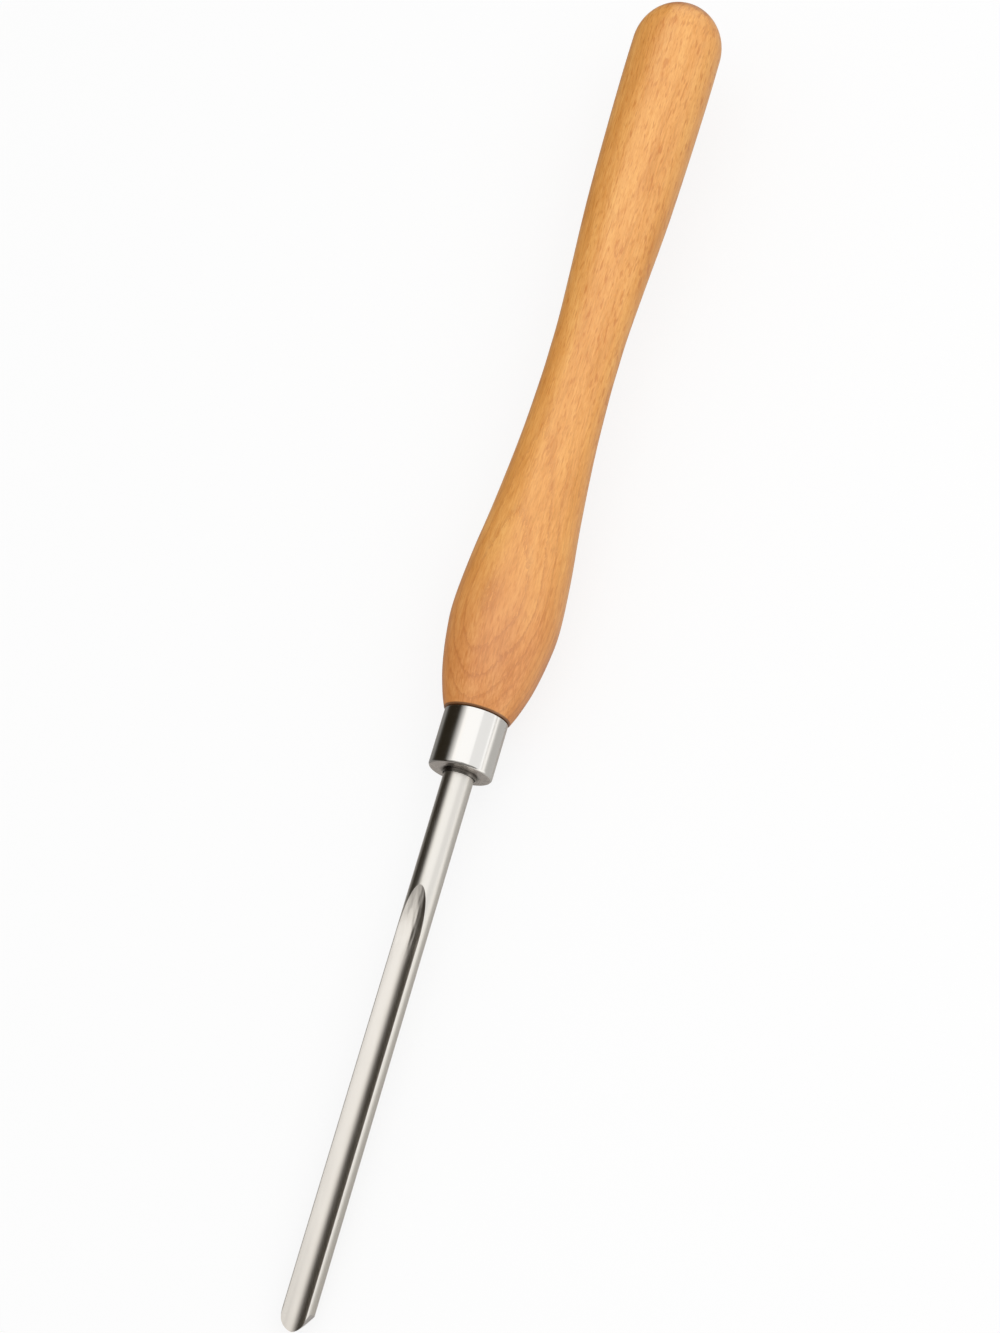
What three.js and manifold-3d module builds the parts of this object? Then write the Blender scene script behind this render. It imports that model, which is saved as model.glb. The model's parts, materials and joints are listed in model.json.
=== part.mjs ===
// Spindle gouge for the woodturning lathe, in millimetres: a turned beech handle, a steel ferrule and one round
// steel bar with a shallow flute and a fingernail nose.
// In the tool's own group the tool's axis is X. The ferrule's front face is at x = 0, the cutting edge points to
// +X, the butt points to -X, and the flute opens upwards, to +Z. The last lines lay the tool down on a bench.
import * as THREE from "three";
import { mergeVertices } from "three/addons/utils/BufferGeometryUtils.js";
import Module from "manifold-3d";

// Blade: the bar, its hidden tang, its flute and its ground nose
const barDiameter = 12;
const bladeReach = 216.3;
const tangLength = 92;
const tangChamfer = 1.6;
const fluteWidth = 9.5;
const fluteDepth = 3.9;
const fluteStart = 47;
const wheelRadius = 60;
const noseLength = 7.6;
const nosePointHeight = 0.2;
const noseFullnessShare = 0.5;

// Ferrule: a turned cup whose plate carries a low collar round the bar, tapered in front down to a thin lip
const ferruleDiameter = 25.1;
const ferruleLength = 23.3;
const ferruleWall = 1.7;
const ferrulePlate = 4;
const ferruleEdgeRadius = 1.2;
const ferruleRimChamfer = 0.4;
const collarWall = 0.5;
const collarLength = 0.7;
const collarTaperLength = 0.6;
const collarLipWall = 0.1;

// Handle: its length is that of the wood in view, from the shoulder to the butt
const handleLength = 321.4;
const buttDiameter = 37.2;
const buttRounding = 20;
const waistDiameter = 28.4;
const waistPlace = 165;
const bulgeDiameter = 42.8;
const bulgePlace = 279;
const shoulderStep = 0.6;
const shoulderChamfer = 0.5;
const tenonChamfer = 1;
const boreRunOn = 2;
const drillPointAngle = Math.PI * (118 / 180);

// How the girth changes between the butt, the waist, the bulge and the shoulder: each pair is a share of the
// way along and a share of the change in radius
const taperShares = [[0.13, 0.005], [0.34, 0.12], [0.55, 0.325], [0.76, 0.715], [0.9, 0.95]];
const swellShares = [[0.13, 0.015], [0.35, 0.15], [0.61, 0.47], [0.82, 0.82]];
const fallShares = [[0.3, 0.1], [0.62, 0.372], [0.86, 0.72]];

// Clearance of the tang, the tenon and the shoulder
const fitGap = 0.3;
const cutOverrun = 2;

// Facets: flats lie under the tool, so that it rests without rolling
const sides = 48;
const fluteSides = 60;
const wheelSteps = 180;
const roundingSteps = 9;
const outlineSteps = 34;
const noseSteps = 12;
const edgeSteps = 4;

const quarterTurn = Math.PI / 2;
const barRadius = barDiameter / 2;
const fluteFloor = barRadius - fluteDepth;
const boreRadius = barRadius + fitGap;
const ferruleRadius = ferruleDiameter / 2;

const steel = new THREE.MeshStandardMaterial({ color: 0xc9c6c2, roughness: 0.22, metalness: 1 });
const polishedSteel = new THREE.MeshStandardMaterial({ color: 0xd8d6d3, roughness: 0.1, metalness: 1 });
const beech = new THREE.MeshStandardMaterial({ color: 0xdb9c5c, roughness: 0.42, metalness: 0 });

const wasm = await Module();
wasm.setup();

// A solid turned about the tool's axis from pairs of place along the axis and radius
function turned(outline) {
  const profile = outline.map(([along, radius]) => new THREE.Vector2(radius, along));
  const geometry = new THREE.LatheGeometry(profile, sides, Math.PI / sides);
  return geometry.rotateZ(-quarterTurn);
}

// Points on a quarter of an ellipse from the first place to the second, round the corner between them
function quarterEllipse([fromAlong, fromRadius], [toAlong, toRadius], steps, startsAcross) {
  const points = [];
  for (let i = 0; i <= steps; i += 1) {
    const angle = (quarterTurn * i) / steps;
    const early = Math.sin(angle);
    const late = 1 - Math.cos(angle);
    const alongShare = startsAcross ? late : early;
    const acrossShare = startsAcross ? early : late;
    const along = fromAlong + (toAlong - fromAlong) * alongShare;
    const radius = fromRadius + (toRadius - fromRadius) * acrossShare;
    points.push([along, radius]);
  }
  return points;
}

function toSolid(geometry) {
  const bare = geometry.clone();
  bare.deleteAttribute("normal");
  bare.deleteAttribute("uv");
  const merged = mergeVertices(bare, 1e-4);
  const vertProperties = merged.getAttribute("position").array;
  const triVerts = new Uint32Array(merged.getIndex().array);
  return new wasm.Manifold(new wasm.Mesh({ numProp: 3, vertProperties, triVerts }));
}

function toGeometry(solid) {
  const { vertProperties, triVerts } = solid.getMesh();
  const indexed = new THREE.BufferGeometry();
  indexed.setAttribute("position", new THREE.BufferAttribute(new Float32Array(vertProperties), 3));
  indexed.setIndex(new THREE.BufferAttribute(new Uint32Array(triVerts), 1));
  const geometry = indexed.toNonIndexed();
  geometry.computeVertexNormals();
  return geometry;
}

function named(name, geometry, material) {
  const mesh = new THREE.Mesh(geometry, material);
  mesh.name = name;
  return mesh;
}

// Handle: butt, waist, bulge and shoulder in one flowing outline, then the tenon and the drilled bore
function makeHandle() {
  const shoulder = -ferruleLength - fitGap;
  const butt = shoulder - handleLength;
  const shoulderRadius = ferruleRadius + shoulderStep;
  const girths = [
    [butt + buttRounding, buttDiameter / 2],
    [butt + waistPlace, waistDiameter / 2],
    [butt + bulgePlace, bulgeDiameter / 2],
    [shoulder - shoulderChamfer, shoulderRadius],
  ];
  const stations = [];
  [taperShares, swellShares, fallShares].forEach((shares, stretch) => {
    const [fromAlong, fromRadius] = girths[stretch];
    const [toAlong, toRadius] = girths[stretch + 1];
    for (const [alongShare, radiusShare] of [[0, 0], ...shares]) {
      const along = fromAlong + (toAlong - fromAlong) * alongShare;
      stations.push(new THREE.Vector2(along, fromRadius + (toRadius - fromRadius) * radiusShare));
    }
  });
  stations.push(new THREE.Vector2(...girths.at(-1)));
  const flowing = new THREE.SplineCurve(stations).getSpacedPoints(outlineSteps);

  const cupRadius = ferruleRadius - ferruleWall;
  const tenonRadius = cupRadius - fitGap;
  const tenonEnd = -ferrulePlate - fitGap;
  const boreEnd = -tangLength - boreRunOn;
  const drillPoint = boreEnd - boreRadius / Math.tan(drillPointAngle / 2);
  return turned([
    ...quarterEllipse([butt, 0], girths[0], roundingSteps, true),
    ...flowing.slice(1).map((point) => [point.x, point.y]),
    [shoulder, shoulderRadius - shoulderChamfer],
    [shoulder, tenonRadius],
    [tenonEnd - tenonChamfer, tenonRadius],
    [tenonEnd, tenonRadius - tenonChamfer],
    [tenonEnd, boreRadius],
    [boreEnd, boreRadius],
    [drillPoint, 0],
  ]);
}

// Ferrule: the cup over the tenon, the plate with its rounded edge, and the collar round the bar
function makeFerrule() {
  const rim = -ferruleLength;
  const cupRadius = ferruleRadius - ferruleWall;
  const collarRadius = boreRadius + collarWall;
  const roundedEdge = quarterEllipse(
    [-ferruleEdgeRadius, ferruleRadius],
    [0, ferruleRadius - ferruleEdgeRadius],
    edgeSteps,
    false,
  );
  return turned([
    [rim, cupRadius],
    [rim, ferruleRadius - ferruleRimChamfer],
    [rim + ferruleRimChamfer, ferruleRadius],
    ...roundedEdge,
    [0, collarRadius],
    [collarLength, collarRadius],
    [collarLength + collarTaperLength, boreRadius + collarLipWall],
    [collarLength + collarTaperLength, boreRadius],
    [-ferrulePlate, boreRadius],
    [-ferrulePlate, cupRadius],
    [rim, cupRadius],
  ]);
}

// What is left of the bar once the nose is ground. Seen from above it is a rounded fingernail. Underneath, the
// bevel runs straight from the heel up to the cutting edge, which lies at the bladeReach on the flute's floor.
// The rings of the form sit on that bevel, and its point lies a little above the flute's floor.
function makeNoseForm() {
  const heel = bladeReach - noseLength;
  const bevelSlope = (fluteFloor + barRadius) / noseLength;
  const point = bladeReach + nosePointHeight / bevelSlope;
  const pointToHeel = point - heel;
  const outer = barRadius + cutOverrun;
  const pointToOuter = pointToHeel * (outer / barRadius) ** (1 / noseFullnessShare);
  const outline = [[-tangLength - cutOverrun, 0], [-tangLength - cutOverrun, outer]];
  for (let i = 0; i <= noseSteps; i += 1) {
    const radius = outer * (1 - i / noseSteps);
    outline.push([point - pointToOuter * (radius / outer) ** (1 / noseFullnessShare), radius]);
  }
  const form = turned(outline);
  const places = form.getAttribute("position");
  for (let i = 0; i < places.count; i += 1) {
    const radius = Math.hypot(places.getY(i), places.getZ(i));
    const bevelHeight = fluteFloor + (places.getX(i) - bladeReach) * bevelSlope;
    places.setZ(i, places.getZ(i) + Math.max(0, bevelHeight + radius));
  }
  return form;
}

// Blade: a round bar, cut by a grinding wheel that travels along it, then ground to its nose
function makeBlade() {
  const bar = turned([
    [-tangLength, 0],
    [-tangLength, barRadius - tangChamfer],
    [-tangLength + tangChamfer, barRadius],
    [bladeReach + cutOverrun, barRadius],
    [bladeReach + cutOverrun, 0],
  ]);

  // The flute is a round channel, so its radius follows from its width and depth at the bar's surface
  const halfWidth = fluteWidth / 2;
  const edgeHeight = Math.sqrt(barRadius ** 2 - halfWidth ** 2);
  const sag = edgeHeight - fluteFloor;
  const fluteRadius = (halfWidth ** 2 + sag ** 2) / (2 * sag);

  // The wheel's rim has the flute's radius, and where the wheel stops it leaves the pointed arch
  const wheelHeight = fluteFloor + wheelRadius;
  const archLength = Math.sqrt(wheelRadius ** 2 - (wheelHeight - barRadius) ** 2);
  const wheelPlace = fluteStart + archLength;
  const wheel = new THREE.TorusGeometry(wheelRadius - fluteRadius, fluteRadius, fluteSides, wheelSteps);
  wheel.rotateX(quarterTurn).translate(wheelPlace, 0, wheelHeight);

  const channelStart = wheelPlace - fitGap;
  const channelLength = bladeReach + cutOverrun * 2 - channelStart;
  const channel = new THREE.CylinderGeometry(fluteRadius, fluteRadius, channelLength, fluteSides);
  channel.rotateZ(-quarterTurn).translate(channelStart + channelLength / 2, 0, fluteFloor + fluteRadius);

  const fluted = toSolid(bar).subtract(toSolid(wheel)).subtract(toSolid(channel));
  return toGeometry(fluted.intersect(toSolid(makeNoseForm())));
}

const tool = new THREE.Group();
const handle = named("handle", makeHandle(), beech);
const ferrule = named("ferrule", makeFerrule(), polishedSteel);
const blade = named("blade", makeBlade(), steel);
tool.add(handle, ferrule, blade);

// On a bench the tool lies nose down, on its bulge and on its blade. The height of a mesh's lowest place, when
// the tool is tilted nose down by an angle:
function lowest(mesh, tilt) {
  const places = mesh.geometry.getAttribute("position");
  let height = Infinity;
  for (let i = 0; i < places.count; i += 1) {
    height = Math.min(height, places.getZ(i) * Math.cos(tilt) - places.getX(i) * Math.sin(tilt));
  }
  return height;
}

let restTilt = 0;
let step = Math.PI / 8;
while (step > 1e-9) {
  const bladeIsHigher = lowest(blade, restTilt + step) > lowest(handle, restTilt + step);
  if (bladeIsHigher) restTilt += step;
  step /= 2;
}
tool.rotation.y = restTilt;

// The origin is on the bench, under the middle of the box round the tool
const box = new THREE.Box3().setFromObject(tool, true);
const middle = box.getCenter(new THREE.Vector3());
tool.position.set(-middle.x, -middle.y, -box.min.z);

const group = new THREE.Group();
group.add(tool);

export default group;
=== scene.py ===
"""A spindle gouge for the woodturning lathe, lying on a pale bench in a white light tent.

The handle, the ferrule and the blade are modelled along the tool's own axis, as in the CAD model: X runs
from the butt to the cutting edge, the ferrule's front face is at zero, and the flute opens to +Z. Each
finished piece is then laid on the bench where its CAD node lies.
"""

import json
import math

import bmesh
import bpy
from mathutils import Matrix, Vector


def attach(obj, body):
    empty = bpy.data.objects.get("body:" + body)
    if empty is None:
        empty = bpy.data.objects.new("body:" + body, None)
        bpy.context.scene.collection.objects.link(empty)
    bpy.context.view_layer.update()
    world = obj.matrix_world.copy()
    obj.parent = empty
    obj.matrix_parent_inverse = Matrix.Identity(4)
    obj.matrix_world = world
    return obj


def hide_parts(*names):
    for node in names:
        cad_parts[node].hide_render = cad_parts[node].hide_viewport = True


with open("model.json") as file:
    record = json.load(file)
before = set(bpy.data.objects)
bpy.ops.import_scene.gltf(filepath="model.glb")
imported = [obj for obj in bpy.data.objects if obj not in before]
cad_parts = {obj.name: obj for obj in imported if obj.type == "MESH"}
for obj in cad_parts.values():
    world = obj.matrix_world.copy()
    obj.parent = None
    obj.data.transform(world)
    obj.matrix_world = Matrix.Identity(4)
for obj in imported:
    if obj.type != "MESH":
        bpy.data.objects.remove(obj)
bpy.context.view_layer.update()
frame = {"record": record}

mm = 0.001
quarter_turn = math.pi / 2

# Blade
bar_radius = 6 * mm
blade_reach = 216.3 * mm
tang_length = 92 * mm
tang_chamfer = 1.6 * mm
flute_width = 9.5 * mm
flute_depth = 3.9 * mm
flute_start = 47 * mm
flute_edge_rounding = 0.08 * mm
wheel_radius = 60 * mm
nose_length = 7.6 * mm
nose_point_height = 0.2 * mm
nose_fullness = 0.4

# Ferrule
ferrule_radius = 12.55 * mm
ferrule_length = 23.3 * mm
ferrule_wall = 1.7 * mm
ferrule_plate = 4 * mm
ferrule_edge_radius = 1.2 * mm
ferrule_rim_chamfer = 0.4 * mm
collar_wall = 0.5 * mm
collar_length = 0.7 * mm
collar_taper_length = 0.6 * mm
collar_lip_wall = 0.1 * mm

# Handle
handle_length = 321.4 * mm
butt_rounding = 20 * mm
butt_radius = 18.6 * mm
waist_place = 165 * mm
waist_radius = 14.2 * mm
bulge_place = 279 * mm
bulge_radius = 21.4 * mm
shoulder_step = 0.6 * mm
shoulder_chamfer = 0.5 * mm
tenon_chamfer = 1 * mm
bore_run_on = 2 * mm
drill_point_angle = math.radians(118)
fit_gap = 0.3 * mm

# How the girth changes between the butt, the waist, the bulge and the shoulder: a share of the way along
# with its share of the change in radius
taper_shares = ((0.13, 0.005), (0.34, 0.12), (0.55, 0.325), (0.76, 0.715), (0.9, 0.95))
swell_shares = ((0.13, 0.015), (0.35, 0.15), (0.61, 0.47), (0.82, 0.82))
fall_shares = ((0.3, 0.1), (0.62, 0.372), (0.86, 0.72))

# Beside each of the ferrule's edges a second ring lies this close, so that the faces next to it stay true
keen = 0.06 * mm

bore_radius = bar_radius + fit_gap
cup_radius = ferrule_radius - ferrule_wall
collar_radius = bore_radius + collar_wall
shoulder = -ferrule_length - fit_gap
butt = shoulder - handle_length

# The flute is a round channel, so its radius follows from its width and its depth
flute_floor = bar_radius - flute_depth
edge_height = math.sqrt(bar_radius**2 - (flute_width / 2) ** 2)
flute_sag = edge_height - flute_floor
flute_radius = ((flute_width / 2) ** 2 + flute_sag**2) / (2 * flute_sag)
wheel_height = flute_floor + wheel_radius
wheel_place = flute_start + math.sqrt(wheel_radius**2 - (wheel_height - bar_radius) ** 2)

# The bevel runs straight from the heel, under the bar, up to the cutting edge on the flute's floor
bevel_slope = (flute_floor + bar_radius) / nose_length

# The mount on the ferrule's face gives the tool's place on the bench and how far its nose points down
face_mount = next(m for m in frame["record"]["mounts"] if m["name"] == "ferrule_face")
face_place = Vector(face_mount["pos_m"])
face_axis = Vector(face_mount["axis"])
nose_down = math.atan2(-face_axis.z, face_axis.x)
on_the_bench = Matrix.Translation((face_place.x, 0, face_place.z)) @ Matrix.Rotation(nose_down, 4, "Y")

# Camera: where the photograph was taken from, in the tool's own frame. From straight above it is turned
# about the tool's axis and leans towards the cutting edge, and the picture is turned about the line of sight
image_height = 1333
focal_pixels = 3000
camera_distance = 1151 * mm
view_centre_along = -45.7 * mm
view_centre_aside = 3.03 * mm
view_lean = math.radians(18.5)
view_turn = math.radians(20)
picture_turn = math.radians(16.62)


def camera_axes():
    """The camera's directions towards itself, across the tool and along it, in the tool's own frame."""
    towards = Vector(
        (
            math.sin(view_lean),
            math.cos(view_lean) * math.sin(view_turn),
            math.cos(view_lean) * math.cos(view_turn),
        )
    )
    across = Vector((0, math.cos(view_turn), -math.sin(view_turn)))
    down_the_tool = (Vector((1, 0, 0)) - towards * towards.x).normalized()
    return towards, across, down_the_tool


class Value:
    """One socket of a material, so that numbers are worked out at each point by ordinary expressions."""

    def __init__(self, finish, socket):
        self.finish = finish
        self.socket = socket

    def __add__(self, other):
        return self.finish.maths("ADD", self, other)

    __radd__ = __add__

    def __sub__(self, other):
        return self.finish.maths("SUBTRACT", self, other)

    def __rsub__(self, other):
        return self.finish.maths("SUBTRACT", other, self)

    def __mul__(self, other):
        return self.finish.maths("MULTIPLY", self, other)

    __rmul__ = __mul__

    def __truediv__(self, other):
        return self.finish.maths("DIVIDE", self, other)

    def __pow__(self, other):
        return self.finish.maths("POWER", self, other)


class Finish:
    """A procedural material, or the world, with the one method that makes each of its nodes."""

    def __init__(self, owner):
        owner.use_nodes = True
        self.owner = owner
        self.tree = owner.node_tree
        self.tree.nodes.clear()

    def node(self, kind, settings=None, inputs=None, output=0):
        """Adds a node, sets it, gives its inputs links or plain values, and hands on one of its outputs."""
        node = self.tree.nodes.new("ShaderNode" + kind)
        for name, setting in (settings or {}).items():
            if name == "stops":
                self.set_stops(node.color_ramp, setting)
            else:
                setattr(node, name, setting)
        for name, value in (inputs or {}).items():
            if isinstance(value, Value):
                self.tree.links.new(value.socket, node.inputs[name])
            else:
                node.inputs[name].default_value = value
        return Value(self, node.outputs[output]) if node.outputs else None

    @staticmethod
    def set_stops(ramp, stops):
        while len(ramp.elements) < len(stops):
            ramp.elements.new(1)
        for element, (position, colour) in zip(ramp.elements, stops):
            element.position = position
            element.color = colour

    def maths(self, operation, *operands):
        return self.node("Math", {"operation": operation}, dict(enumerate(operands)))

    def mix(self, factor, first, second, blend="MIX"):
        settings = {"data_type": "RGBA", "blend_type": blend}
        return self.node("Mix", settings, {0: factor, 6: first, 7: second}, output=2)

    def between(self, value, low, high, to_low=0, to_high=1):
        """The value's way from low to high, eased at both ends and held beyond them."""
        settings = {"interpolation_type": "SMOOTHSTEP", "clamp": True}
        return self.node("MapRange", settings, {0: value, 1: low, 2: high, 3: to_low, 4: to_high})

    def parts(self, vector):
        return [self.node("SeparateXYZ", None, {0: vector}, output=i) for i in range(3)]

    def joined(self, x, y, z):
        return self.node("CombineXYZ", None, {0: x, 1: y, 2: z})

    def on_the_tool(self):
        """The place in the tool's own frame, in millimetres: along its axis, to its left and above it."""
        back = on_the_bench.inverted()
        place = self.node("TexCoord", output="Object")
        inputs = {"Vector": place, "Location": back.to_translation(), "Rotation": back.to_euler()}
        lined_up = self.node("Mapping", {"vector_type": "POINT"}, inputs)
        return self.parts(self.node("VectorMath", {"operation": "SCALE"}, {0: lined_up, "Scale": 1 / mm}))

    def noise(self, place, detail=3, roughness=0.5):
        inputs = {"Vector": place, "Scale": 1.0, "Detail": detail, "Roughness": roughness}
        return self.node("TexNoise", None, inputs)

    def patches(self, place, length, width, detail=3, roughness=0.5):
        """Noise in patches of that length along the tool and that width across it, in millimetres."""
        along, aside, height = place
        return self.noise(self.joined(along / length, aside / width, height / width), detail, roughness)

    def bump(self, height, depth):
        """Relief whose height, from 0 to 1, stands for a depth in metres."""
        return self.node("Bump", None, {"Distance": depth, "Height": height})

    def rays(self):
        """Which ray arrives: one from the camera, one that was mirrored, or one that passed through glass."""
        kinds = ("Camera", "Glossy", "Transmission")
        return [self.node("LightPath", output=f"Is {kind} Ray") for kind in kinds]

    def show(self, shader, kind="OutputMaterial"):
        self.node(kind, None, {"Surface": shader})

    def material(self, inputs):
        """The material, once its surface has those inputs."""
        self.show(self.node("BsdfPrincipled", None, inputs))
        return self.owner


def new_finish(name):
    return Finish(bpy.data.materials.new(name))


def beech():
    """Turned beech: growth rings about a pith below the handle, ray flecks, fine fibres, a satin lacquer."""
    finish = new_finish("beech")
    pith_depth = 64
    pith_lean = 0.013
    ring_spacing = 2.7
    ray_depth = 5
    deep_wood = (0.72, 0.29, 0.045, 1)
    plain_wood = (0.88, 0.39, 0.082, 1)
    light_wood = (0.97, 0.49, 0.125, 1)
    late_wood_brown = (0.6, 0.2, 0.03, 1)
    ray_brown = (0.58, 0.15, 0.0, 1)
    fine_ray_brown = (0.72, 0.22, 0.0, 1)
    reddening = (0.88, 0.76, 0.8, 1)
    shoulder_darkening = (0.1, 0.04, 0.015, 1)
    # Painted shade for the rounded butt
    painted_butt_shade = (0.62, 0.48, 0.36, 1)

    place = finish.on_the_tool()
    along, aside, height = place
    above_pith = height - along * pith_lean + pith_depth
    from_pith = (aside**2 + above_pith**2) ** 0.5
    round_pith = finish.maths("ARCTAN2", aside, above_pith) * pith_depth

    # The rings wander slowly, and every bundle of fibres shifts their lines a little
    wander = finish.patches(place, length=70, width=14, detail=2)
    bundles = finish.patches(place, length=4, width=0.9, roughness=0.7)
    ring_place = from_pith / ring_spacing + wander * 1.2 + bundles * 0.6
    ring = finish.maths("FRACT", ring_place)
    late_wood = finish.between(ring, 0.5, 1.0) ** 3 * finish.between(ring, 1.0, 0.98)
    ring_number = finish.maths("FLOOR", ring_place)
    settings = {"noise_dimensions": "1D"}
    ring_strength = finish.node("TexWhiteNoise", settings, {"W": ring_number}, output="Value")

    # Rays are ribbons that run out from the pith, and the turned surface cuts them to thin dashes
    def streaks(length, width, thin, thick):
        ribbons = finish.joined(along / length, from_pith / ray_depth, round_pith / width)
        return finish.between(finish.noise(ribbons, detail=1), thin, thick)

    # The fat end was cut nearer to the rings' tops, so it shows more of the rings and less of the rays
    fat_end = finish.between(along, -190, -90)
    rays = streaks(length=5, width=0.6, thin=0.56, thick=0.7) * (1 - fat_end * 0.45)
    fine_rays = streaks(length=3.2, width=0.4, thin=0.5, thick=0.66) * (1 - fat_end * 0.3)
    fibres = finish.patches(place, length=9, width=0.7, roughness=0.7)
    cloud = finish.patches(place, length=45, width=7)

    stops = ((0.34, deep_wood), (0.5, plain_wood), (0.64, light_wood))
    tone = finish.node("ValToRGB", {"stops": stops}, {0: cloud * 0.5 + fibres * 0.5})
    ring_depth = (ring_strength * 0.5 + 0.2) * (0.35 + fat_end * 0.65)
    ringed = finish.mix(late_wood * ring_depth, tone, late_wood_brown)
    rayed = finish.mix(rays * 0.5, ringed, ray_brown)
    flecked = finish.mix(fine_rays * 0.3, rayed, fine_ray_brown)

    # The wood is redder towards the ferrule, and darker over its last millimetre at the shoulder
    redder = finish.between(along, -105, -35)
    near_ferrule = finish.mix(redder, flecked, reddening, blend="MULTIPLY")
    shoulder_place = shoulder / mm
    shoulder_darkened = finish.between(along, shoulder_place - 0.8, shoulder_place - 0.35) * 0.8
    at_the_shoulder = finish.mix(shoulder_darkened, near_ferrule, shoulder_darkening)

    # Painted shade: the rounded butt is darkened, standing in for the dome's unlit side beyond the overhead
    # softbox's reflection
    butt_place = butt / mm
    butt_shaded = finish.between(along, butt_place + 10, butt_place + 4)
    colour = finish.mix(butt_shaded, at_the_shoulder, painted_butt_shade, blend="MULTIPLY")

    inputs = {
        "Base Color": colour,
        "Roughness": fibres * 0.1 + 0.3,
        "IOR": 1.75,
        "Normal": finish.bump(1 - rays * 0.6 - fine_rays * 0.3 + fibres * 0.25, 0.008 * mm),
    }
    return finish.material(inputs)


def mirror_steel():
    """The ferrule: turned steel polished to a mirror, with the last fine turning lines round it."""
    finish = new_finish("mirror steel")
    # The third colour is painted shade for the collar and the corner round it
    polished, faced, painted_corner_shade = (0.78, 0.765, 0.74, 1), (0.6, 0.555, 0.525, 1), (0.13, 0.12, 0.105, 1)
    place = finish.on_the_tool()
    along, aside, height = place
    lines = finish.patches(place, length=0.12, width=40, roughness=0.6)
    smears = finish.patches(place, length=6, width=5)

    # The front face was left duller. Painted shade: the collar and the face round it are darkened, standing
    # in for the dark reflections in the corner between face and bar
    in_front = finish.between(along, -0.4, -0.05)
    from_axis = (aside**2 + height**2) ** 0.5
    collar_reach = collar_radius / mm
    corner_shade = finish.between(from_axis, collar_reach + 1.6, collar_reach + 0.1) * in_front
    inputs = {
        "Base Color": finish.mix(corner_shade * 0.8, finish.mix(in_front, polished, faced), painted_corner_shade),
        "Metallic": 1.0,
        "Roughness": 0.11 + smears * 0.1 + in_front * 0.12,
        "Normal": finish.bump(lines, 0.0006 * mm),
    }
    return finish.material(inputs)


def bar_steel():
    """The round bar: high-speed steel with fine marks round it, polished a little unevenly."""
    finish = new_finish("bar steel")
    place = finish.on_the_tool()
    lines = finish.patches(place, length=0.25, width=3, detail=4, roughness=0.65)
    smears = finish.patches(place, length=14, width=3)
    inputs = {
        "Base Color": (0.72, 0.695, 0.65, 1),
        "Metallic": 1.0,
        "Roughness": 0.24 + smears * 0.12,
        "Normal": finish.bump(lines, 0.0015 * mm),
    }
    return finish.material(inputs)


def flute_steel():
    """The flute: ground lengthways by the wheel's rim and polished."""
    finish = new_finish("flute steel")
    place = finish.on_the_tool()
    along, aside, height = place
    lines = finish.noise(finish.joined(along / 30, aside / 0.12, height / 0.5), roughness=0.6)
    smears = finish.patches(place, length=12, width=2)

    # Where the wheel left the bar its marks are deeper, which breaks up the reflections there
    exit_marks = finish.noise(finish.joined(along / 10, aside / 2, 0.0), detail=1)
    at_the_exit = finish.between(along, 80, 62)
    inputs = {
        "Base Color": (0.72, 0.685, 0.635, 1),
        "Metallic": 1.0,
        "Roughness": 0.25 + smears * 0.12,
        "Normal": finish.bump(lines * 0.003 + exit_marks * at_the_exit, 0.35 * mm),
    }
    return finish.material(inputs)


def bevel_steel():
    """The nose bevel: fresh from the grinding wheel, with its scratches running round the nose."""
    finish = new_finish("bevel steel")
    scratched, bright = (0.52, 0.5, 0.5, 1), (0.68, 0.65, 0.64, 1)
    place = finish.on_the_tool()
    scratches = finish.patches(place, length=0.09, width=2.5, detail=4, roughness=0.7)
    inputs = {
        "Base Color": finish.mix(scratches, scratched, bright),
        "Metallic": 1.0,
        "Roughness": 0.26 + scratches * 0.16,
        "Normal": finish.bump(scratches, 0.004 * mm),
    }
    return finish.material(inputs)


def quarter_ellipse(start, end, steps, starts_across):
    """Points from start to end on a quarter of an ellipse, round the corner between them."""
    points = []
    for step in range(steps + 1):
        angle = quarter_turn * step / steps
        early, late = math.sin(angle), 1 - math.cos(angle)
        along_share, radius_share = (late, early) if starts_across else (early, late)
        points.append(
            (start[0] + (end[0] - start[0]) * along_share, start[1] + (end[1] - start[1]) * radius_share)
        )
    return points


def flowing(stations, steps):
    """Points on the smooth curve through the stations, after the first one."""
    points = [Vector(station) for station in stations]
    curve = []
    for i, (start, end) in enumerate(zip(points, points[1:])):
        leaving = (end - points[max(i - 1, 0)]) / 2
        arriving = (points[min(i + 2, len(points) - 1)] - start) / 2
        for step in range(1, steps + 1):
            t = step / steps
            bend = (start - end) * 2 + leaving + arriving
            sweep = (end - start) * 3 - leaving * 2 - arriving
            place = ((bend * t + sweep) * t + leaving) * t + start
            curve.append((place.x, place.y))
    return curve


def evenly(start, end, spacing):
    """Places from start towards end, without either of them, no further apart than the spacing."""
    count = math.ceil(abs(end - start) / spacing)
    return [start + (end - start) * i / count for i in range(1, count)]


def drawn(name, places):
    """A line drawn from place to place and left selected in edit mode."""
    bpy.ops.object.select_all(action="DESELECT")
    bpy.ops.mesh.primitive_plane_add(size=mm, location=(0, 0, 0))
    line = bpy.context.object
    line.name = name
    bpy.ops.object.mode_set(mode="EDIT")
    bpy.ops.mesh.select_mode(type="VERT")
    bpy.ops.mesh.select_all(action="SELECT")
    bpy.ops.mesh.merge(type="CENTER")
    bpy.ops.transform.translate(value=places[0])
    for here, there in zip(places, places[1:]):
        step = [there[i] - here[i] for i in range(3)]
        bpy.ops.mesh.extrude_region_move(TRANSFORM_OT_translate={"value": step})
    bpy.ops.mesh.select_all(action="SELECT")
    return line


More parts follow.
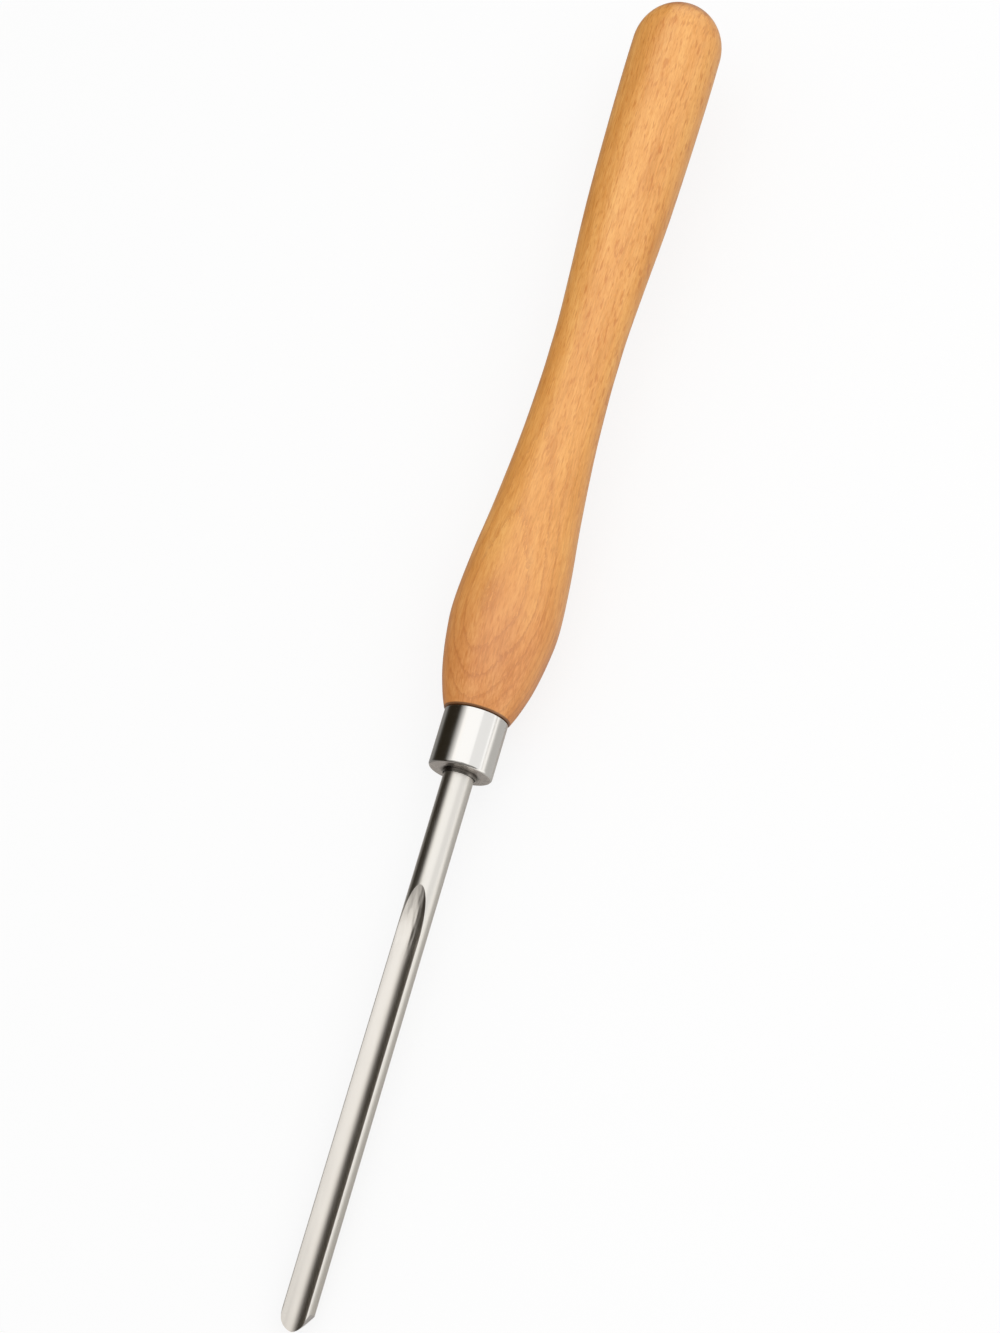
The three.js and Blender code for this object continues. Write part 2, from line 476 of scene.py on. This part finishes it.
def turned(name, outline, facets=160):
    """A piece turned on the lathe: its outline, places along the axis with their radii, is spun about it."""
    piece = drawn(name, [(along, 0, radius) for along, radius in outline])
    bpy.ops.mesh.spin(steps=facets, angle=math.tau, center=(0, 0, 0), axis=(1, 0, 0))
    bpy.ops.mesh.select_all(action="SELECT")
    bpy.ops.mesh.remove_doubles(threshold=0.002 * mm)
    bpy.ops.mesh.normals_make_consistent(inside=False)
    bpy.ops.object.mode_set(mode="OBJECT")
    return piece


def finished(piece, node, smooth_angle):
    """Smooths the edges flatter than the angle, and puts the piece on the bench in its CAD node's place."""
    bpy.ops.object.select_all(action="DESELECT")
    piece.select_set(True)
    bpy.context.view_layer.objects.active = piece
    bpy.ops.object.shade_smooth_by_angle(angle=math.radians(smooth_angle))
    piece.matrix_world = on_the_bench
    bpy.ops.object.transform_apply(location=True, rotation=True, scale=True)
    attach(piece, "root")
    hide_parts(node)


def make_handle():
    """The handle: butt, waist, bulge and shoulder in one flowing outline, then the tenon and the bore."""
    shoulder_radius = ferrule_radius + shoulder_step
    girths = (
        (butt + butt_rounding, butt_radius),
        (butt + waist_place, waist_radius),
        (butt + bulge_place, bulge_radius),
        (shoulder - shoulder_chamfer, shoulder_radius),
    )
    stations = []
    for (start, start_radius), (end, end_radius), shares in zip(
        girths, girths[1:], (taper_shares, swell_shares, fall_shares)
    ):
        for along_share, radius_share in ((0, 0), *shares):
            along = start + (end - start) * along_share
            stations.append((along, start_radius + (end_radius - start_radius) * radius_share))
    stations.append(girths[-1])

    tenon_radius = cup_radius - fit_gap
    tenon_end = -ferrule_plate - fit_gap
    bore_end = -tang_length - bore_run_on
    drill_point = bore_end - bore_radius / math.tan(drill_point_angle / 2)
    handle = turned(
        "turned_handle",
        [
            *quarter_ellipse((butt, 0), girths[0], steps=28, starts_across=True),
            *flowing(stations, steps=8),
            (shoulder, shoulder_radius - shoulder_chamfer),
            (shoulder, tenon_radius),
            (tenon_end - tenon_chamfer, tenon_radius),
            (tenon_end, tenon_radius - tenon_chamfer),
            (tenon_end, bore_radius),
            (bore_end, bore_radius),
            (drill_point, 0),
        ],
    )
    handle.data.materials.append(beech())
    finished(handle, "handle", smooth_angle=40)


def make_ferrule():
    """The ferrule: a cup over the tenon, a plate with a rounded edge, and a tapered collar round the bar."""
    rim = -ferrule_length
    side_start, side_end = rim + ferrule_rim_chamfer, -ferrule_edge_radius
    face_edge = ferrule_radius - ferrule_edge_radius
    lip_radius = bore_radius + collar_lip_wall
    ferrule = turned(
        "turned_ferrule",
        [
            (rim, cup_radius),
            (rim, ferrule_radius - ferrule_rim_chamfer - keen),
            *quarter_ellipse(
                (rim, ferrule_radius - ferrule_rim_chamfer),
                (side_start, ferrule_radius),
                steps=6,
                starts_across=True,
            ),
            (side_start + keen, ferrule_radius),
            (side_end - keen, ferrule_radius),
            *quarter_ellipse((side_end, ferrule_radius), (0, face_edge), steps=12, starts_across=False),
            (0, face_edge - keen),
            (0, collar_radius + keen),
            (0, collar_radius),
            (keen, collar_radius),
            (collar_length - keen, collar_radius),
            (collar_length, collar_radius),
            (collar_length + collar_taper_length - keen, lip_radius + keen / 4),
            (collar_length + collar_taper_length, lip_radius),
            (collar_length + collar_taper_length, bore_radius),
            (-ferrule_plate, bore_radius),
            (-ferrule_plate, cup_radius),
            (rim, cup_radius),
        ],
    )
    ferrule.data.materials.append(mirror_steel())
    finished(ferrule, "ferrule", smooth_angle=30)


def grinding_wheel_rim():
    """The outline, across the bar, that the wheel's dressed rim grinds: a round flute with eased edges."""
    flute_steps = 30
    easing_steps = 10
    easing_stands_proud = 0.03
    beside_bar = 4 * mm
    above_bar = 6 * mm

    # The easing's arc stands a hair proud of the bar, so that it crosses the bar's surface
    easing_reach = bar_radius - flute_edge_rounding * (1 - easing_stands_proud)
    outer_reach = flute_radius + flute_edge_rounding
    rim_centre = flute_floor + flute_radius
    easing_height = (rim_centre**2 + easing_reach**2 - outer_reach**2) / (2 * rim_centre)
    easing_aside = math.sqrt(easing_reach**2 - easing_height**2)
    flute_end = math.atan2(easing_aside, rim_centre - easing_height)
    easing_end = math.atan2(easing_aside, easing_height)

    half = []
    for step in range(flute_steps):
        angle = flute_end * step / flute_steps
        half.append((flute_radius * math.sin(angle), rim_centre - flute_radius * math.cos(angle)))
    for step in range(easing_steps + 1):
        angle = -flute_end + (easing_end + flute_end) * step / easing_steps
        aside = easing_aside + flute_edge_rounding * math.sin(angle)
        half.append((aside, easing_height + flute_edge_rounding * math.cos(angle)))
    outwards = 1 + beside_bar / bar_radius
    half.append((half[-1][0] * outwards, half[-1][1] * outwards))
    half.append((half[-1][0], half[-1][1] + above_bar))
    return [(-aside, height) for aside, height in reversed(half[1:])] + half


def grinding_wheel_path():
    """All that the wheel's rim sweeps: a straight channel, then a curve up and out of the bar."""
    beyond_nose = blade_reach + 6 * mm
    run_out_angle = math.radians(36)
    run_out_steps = 90
    path = drawn("wheel_path", [(wheel_place, aside, height) for aside, height in grinding_wheel_rim()])
    bpy.ops.mesh.edge_face_add()
    bpy.ops.mesh.extrude_region_move(TRANSFORM_OT_translate={"value": (beyond_nose - wheel_place, 0, 0)})

    # The channel's end under the wheel's centre is spun about that centre
    bpy.ops.mesh.select_mode(type="FACE")
    bpy.ops.mesh.select_all(action="DESELECT")
    shape = bmesh.from_edit_mesh(path.data)
    for face in shape.faces:
        face.select_set(face.calc_center_bounds().x < wheel_place + mm)
    bmesh.update_edit_mesh(path.data)
    bpy.ops.mesh.spin(
        steps=run_out_steps, angle=-run_out_angle, center=(wheel_place, 0, wheel_height), axis=(0, 1, 0)
    )
    bpy.ops.mesh.select_all(action="SELECT")
    bpy.ops.mesh.normals_make_consistent(inside=False)
    bpy.ops.object.mode_set(mode="OBJECT")
    return path


def nose_form():
    """What is left of the bar once the nose is ground: a stack of rings on the straight bevel.

    Seen from above, the rings close in to a rounded fingernail. They lie closer together towards its point.
    """
    point = blade_reach + nose_point_height / bevel_slope
    heel = blade_reach - nose_length
    clear_of_bar = 2 * mm
    outer = bar_radius + clear_of_bar
    facets = 220
    steps = 56
    closeness = 1.15
    rings = [(-tang_length - clear_of_bar, outer, 0)]
    for step in range(steps):
        radius = outer * (1 - step / steps) ** closeness
        along = point - (point - heel) * (radius / bar_radius) ** (1 / nose_fullness)
        bevel_height = flute_floor + (along - blade_reach) * bevel_slope
        rings.append((along, radius, max(0, bevel_height + radius)))

    bpy.ops.object.select_all(action="DESELECT")
    bpy.ops.mesh.primitive_circle_add(
        vertices=facets, radius=outer, fill_type="NGON", location=(0, 0, 0), rotation=(0, quarter_turn, 0)
    )
    form = bpy.context.object
    form.name = "nose_form"
    bpy.ops.object.transform_apply(location=True, rotation=True, scale=True)
    bpy.ops.object.mode_set(mode="EDIT")
    bpy.ops.mesh.select_mode(type="VERT")
    bpy.ops.mesh.select_all(action="SELECT")
    bpy.ops.transform.translate(value=(rings[0][0], 0, 0))
    for (along, radius, height), (next_along, next_radius, next_height) in zip(rings, rings[1:]):
        step = (next_along - along, 0, next_height - height)
        bpy.ops.mesh.extrude_region_move(TRANSFORM_OT_translate={"value": step})
        scale = next_radius / radius
        centre = (next_along, 0, next_height)
        bpy.ops.transform.resize(value=(scale, scale, scale), center_override=centre)
    bpy.ops.mesh.select_all(action="SELECT")
    bpy.ops.mesh.normals_make_consistent(inside=False)
    bpy.ops.object.mode_set(mode="OBJECT")
    return form


def cut(piece, tool, operation):
    """Applies a boolean with the tool, whose finish the new faces take, and takes the tool away."""
    bpy.ops.object.select_all(action="DESELECT")
    piece.select_set(True)
    bpy.context.view_layer.objects.active = piece
    modifier = piece.modifiers.new(operation.lower(), "BOOLEAN")
    modifier.operation = operation
    modifier.object = tool
    modifier.solver = "EXACT"
    modifier.material_mode = "TRANSFER"
    bpy.ops.object.modifier_apply(modifier=modifier.name)
    bpy.data.objects.remove(tool)


def make_blade():
    """The blade: a round bar, fluted by the grinding wheel and ground to a fingernail nose."""
    beyond_nose = blade_reach + 4 * mm
    ring_spacing = 1.5 * mm
    bar = turned(
        "ground_blade",
        [
            (-tang_length, 0),
            (-tang_length, bar_radius - tang_chamfer),
            (-tang_length + tang_chamfer, bar_radius),
            (0, bar_radius),
            *((along, bar_radius) for along in evenly(0, beyond_nose, ring_spacing)),
            (beyond_nose, bar_radius),
            (beyond_nose, 0),
        ],
        facets=192,
    )
    bar.data.materials.append(bar_steel())
    path = grinding_wheel_path()
    path.data.materials.append(flute_steel())
    cut(bar, path, "DIFFERENCE")
    form = nose_form()
    form.data.materials.append(bevel_steel())
    cut(bar, form, "INTERSECT")
    finished(bar, "blade", smooth_angle=18)


def add_bench():
    """The bench: nearly white where the camera sees it, and a warm grey in the light it throws back."""
    white, warm_grey = (0.97, 0.97, 0.97, 1), (0.55, 0.53, 0.495, 1)
    glow_when_seen, glow_when_mirrored = 0.82, 0.1
    bpy.ops.object.select_all(action="DESELECT")
    bpy.ops.mesh.primitive_plane_add(size=12, location=(0, 0, 0))
    bench = bpy.context.object
    bench.name = "bench"
    finish = new_finish("pale bench")
    seen, mirrored, through = finish.rays()
    lit = finish.node("BsdfDiffuse", None, {"Color": finish.mix(seen, warm_grey, white)})
    glow = finish.node("Emission", None, {"Color": (1, 1, 1, 1), "Strength": 1.0})
    glow_share = seen * glow_when_seen + mirrored * glow_when_mirrored + through * glow_when_mirrored
    finish.show(finish.node("MixShader", None, {0: glow_share, 1: lit, 2: glow}))
    bench.data.materials.append(finish.owner)


def add_camera():
    towards, across, down_the_tool = camera_axes()
    right = across * math.cos(picture_turn) - down_the_tool * math.sin(picture_turn)
    up = -across * math.sin(picture_turn) - down_the_tool * math.cos(picture_turn)
    place = Vector((view_centre_along, 0, 0)) + across * view_centre_aside + towards * camera_distance
    turned_to = Matrix((right, up, towards)).transposed().to_4x4()

    # The picture is upright, so the sensor's width spans the picture's height
    optics = bpy.data.cameras.new("photograph")
    optics.sensor_width = 36
    optics.lens = optics.sensor_width * focal_pixels / image_height
    optics.clip_start = 0.01
    optics.clip_end = 50
    camera = bpy.data.objects.new("photograph", optics)
    bpy.context.scene.collection.objects.link(camera)
    camera.matrix_world = on_the_bench @ Matrix.Translation(place) @ turned_to
    bpy.context.scene.camera = camera


def add_lamp(name, place, towards, width, height, brightness):
    """A softbox whose face has that brightness, where 1 is white. Its places and sizes are in metres."""
    lamp = bpy.data.lights.new(name, "AREA")
    lamp.shape = "RECTANGLE"
    lamp.size = width
    lamp.size_y = height
    lamp.energy = brightness * math.pi * width * height
    holder = bpy.data.objects.new(name, lamp)
    bpy.context.scene.collection.objects.link(holder)
    facing = (Vector(towards) - Vector(place)).to_track_quat("-Z", "Y").to_matrix().to_4x4()
    holder.matrix_world = Matrix.Translation(place) @ facing
    holder.visible_camera = False
    return holder


def add_card(name, place, turn, width, height, brightness):
    """A card that only reflections show, so that it lights and shades nothing. Its brightness, where 1 is
    white, is worked out from the place on it. Its places and sizes are in metres.
    """
    brightest = 1.25
    bpy.ops.object.select_all(action="DESELECT")
    bpy.ops.mesh.primitive_plane_add(size=1, location=place, rotation=turn)
    card = bpy.context.object
    card.name = name
    card.scale = (width, height, 1)
    bpy.ops.object.transform_apply(location=True, rotation=True, scale=True)
    finish = new_finish(name)
    x, y, z = finish.parts(finish.node("TexCoord", output="Object"))
    black = finish.node("Emission", None, {"Color": (0.013, 0.008, 0.001, 1), "Strength": 1.0})
    white = finish.node("Emission", None, {"Color": (1, 0.985, 0.96, 1), "Strength": brightest})
    white_share = brightness(finish, x, y, z) / brightest
    finish.show(finish.node("MixShader", None, {0: white_share, 1: black, 2: white}))
    card.data.materials.append(finish.owner)
    card.visible_camera = False
    card.visible_diffuse = False
    card.visible_shadow = False


def add_light():
    """A white tent, dimmer as a light than it looks, two softboxes above the tool and a strip beside it."""
    tent_light = 0.77
    world = bpy.data.worlds.new("light tent")
    bpy.context.scene.world = world
    tent = Finish(world)
    seen, mirrored, through = tent.rays()
    strength = (seen + mirrored + through) * (1 - tent_light) + tent_light
    tent.show(tent.node("Background", None, {"Color": (1, 1, 1, 1), "Strength": strength}), "OutputWorld")

    over_handle, over_left_side = (-0.325, 0.17, 0.8), (-0.05, 0.75, 0.95)
    add_lamp("overhead softbox", over_handle, (-0.325, 0.17, 0), width=1.25, height=0.95, brightness=0.25)
    add_lamp("side strip", (0, 1, 0.09), (0, 0, 0.02), width=1.8, height=0.15, brightness=0.25)
    key = add_lamp("key softbox", over_left_side, (-0.05, 0, 0), width=1.4, height=0.9, brightness=0.7)
    key.visible_glossy = False


def add_cards():
    """What the steel reflects: a flag, two sheets on the bench with painted shade and a painted shadow, a
    curtain in front and the camera.
    """

    def flag_brightness(finish, x, y, z):
        """Black up to a steep angle above the bench, and white overhead."""
        up_from_bench = finish.maths("ARCTAN2", z, y * -1)
        return finish.between(up_from_bench, math.radians(43), math.radians(74), 0.012, 1)

    def left_bench_shade_brightness(finish, x, y, z):
        """Painted shade of the bench left of the tool: dark, less so near the tool, with a painted bright
        patch under the front of the flute.
        """
        painted_light_under_flute = finish.between(x, 0.11, 0.15) * finish.between(y, -0.035, -0.015)
        return finish.between(y, -0.16, -0.035, 0.03, 0.27) + painted_light_under_flute * 0.75

    def bench_shadow_brightness(finish, x, y, z):
        """Painted shadow: white beyond a grey shade along the tool, its shadow on the bench as the steel
        reflects it, narrow by the flute and wide by the handle.
        """
        shade_width = finish.between(x, 0.03, 0.12, 0.1, 0.045) + finish.between(x, 0, -0.1, 0, 0.5)
        return finish.between(y / shade_width, 0.6, 1.3, 0.55, 1.2)

    def curtain_brightness(finish, x, y, z):
        """Dark low down, and brighter in two steps towards overhead."""
        hang_place = 0.1
        forward = finish.maths("ARCTAN2", x - hang_place, z)
        near = finish.between(forward, math.radians(22), math.radians(5), 0, 0.4)
        far = finish.between(forward, math.radians(60), math.radians(26), 0.15, 0.6)
        return near + far

    on_bench = 0.5 * mm
    flat = (0, 0, 0)
    leaning = (0, math.atan2(1.2, 1), 0)
    add_card("side_flag", (0, -0.6, 1.5), (quarter_turn, 0, 0), 4, 3, flag_brightness)
    # A sheet of painted shade for the bench left of the tool
    add_card("left_bench_shade", (0, -0.315, on_bench), flat, 1.6, 0.57, left_bench_shade_brightness)
    # A sheet with the tool's painted shadow on the bench
    add_card("bench_with_painted_shadow", (0, 0.52, on_bench), flat, 2, 1, bench_shadow_brightness)
    add_card("front_curtain", (0.7, 0, 0.6), leaning, 1.562, 3, curtain_brightness)

    # The camera's own dark front, which the corner between ferrule and bar reflects
    front_distance = 0.85
    front_width = 0.24
    towards, across, down_the_tool = camera_axes()
    camera_front = on_the_bench @ (towards * front_distance)
    facing_the_tool = on_the_bench.to_3x3() @ Matrix((across, down_the_tool, -towards)).transposed()

    def camera_front_brightness(finish, x, y, z):
        """A nearly black lens in a dim surround."""
        reach = ((x - camera_front.x) ** 2 + (y - camera_front.y) ** 2 + (z - camera_front.z) ** 2) ** 0.5
        return finish.between(reach, 0.07, 0.12, 0.03, 0.4)

    turn = facing_the_tool.to_euler()
    add_card("camera_front", camera_front, turn, front_width, front_width, camera_front_brightness)


bpy.context.scene.view_settings.view_transform = "Standard"
add_camera()
add_bench()
add_light()
add_cards()
make_handle()
make_ferrule()
make_blade()
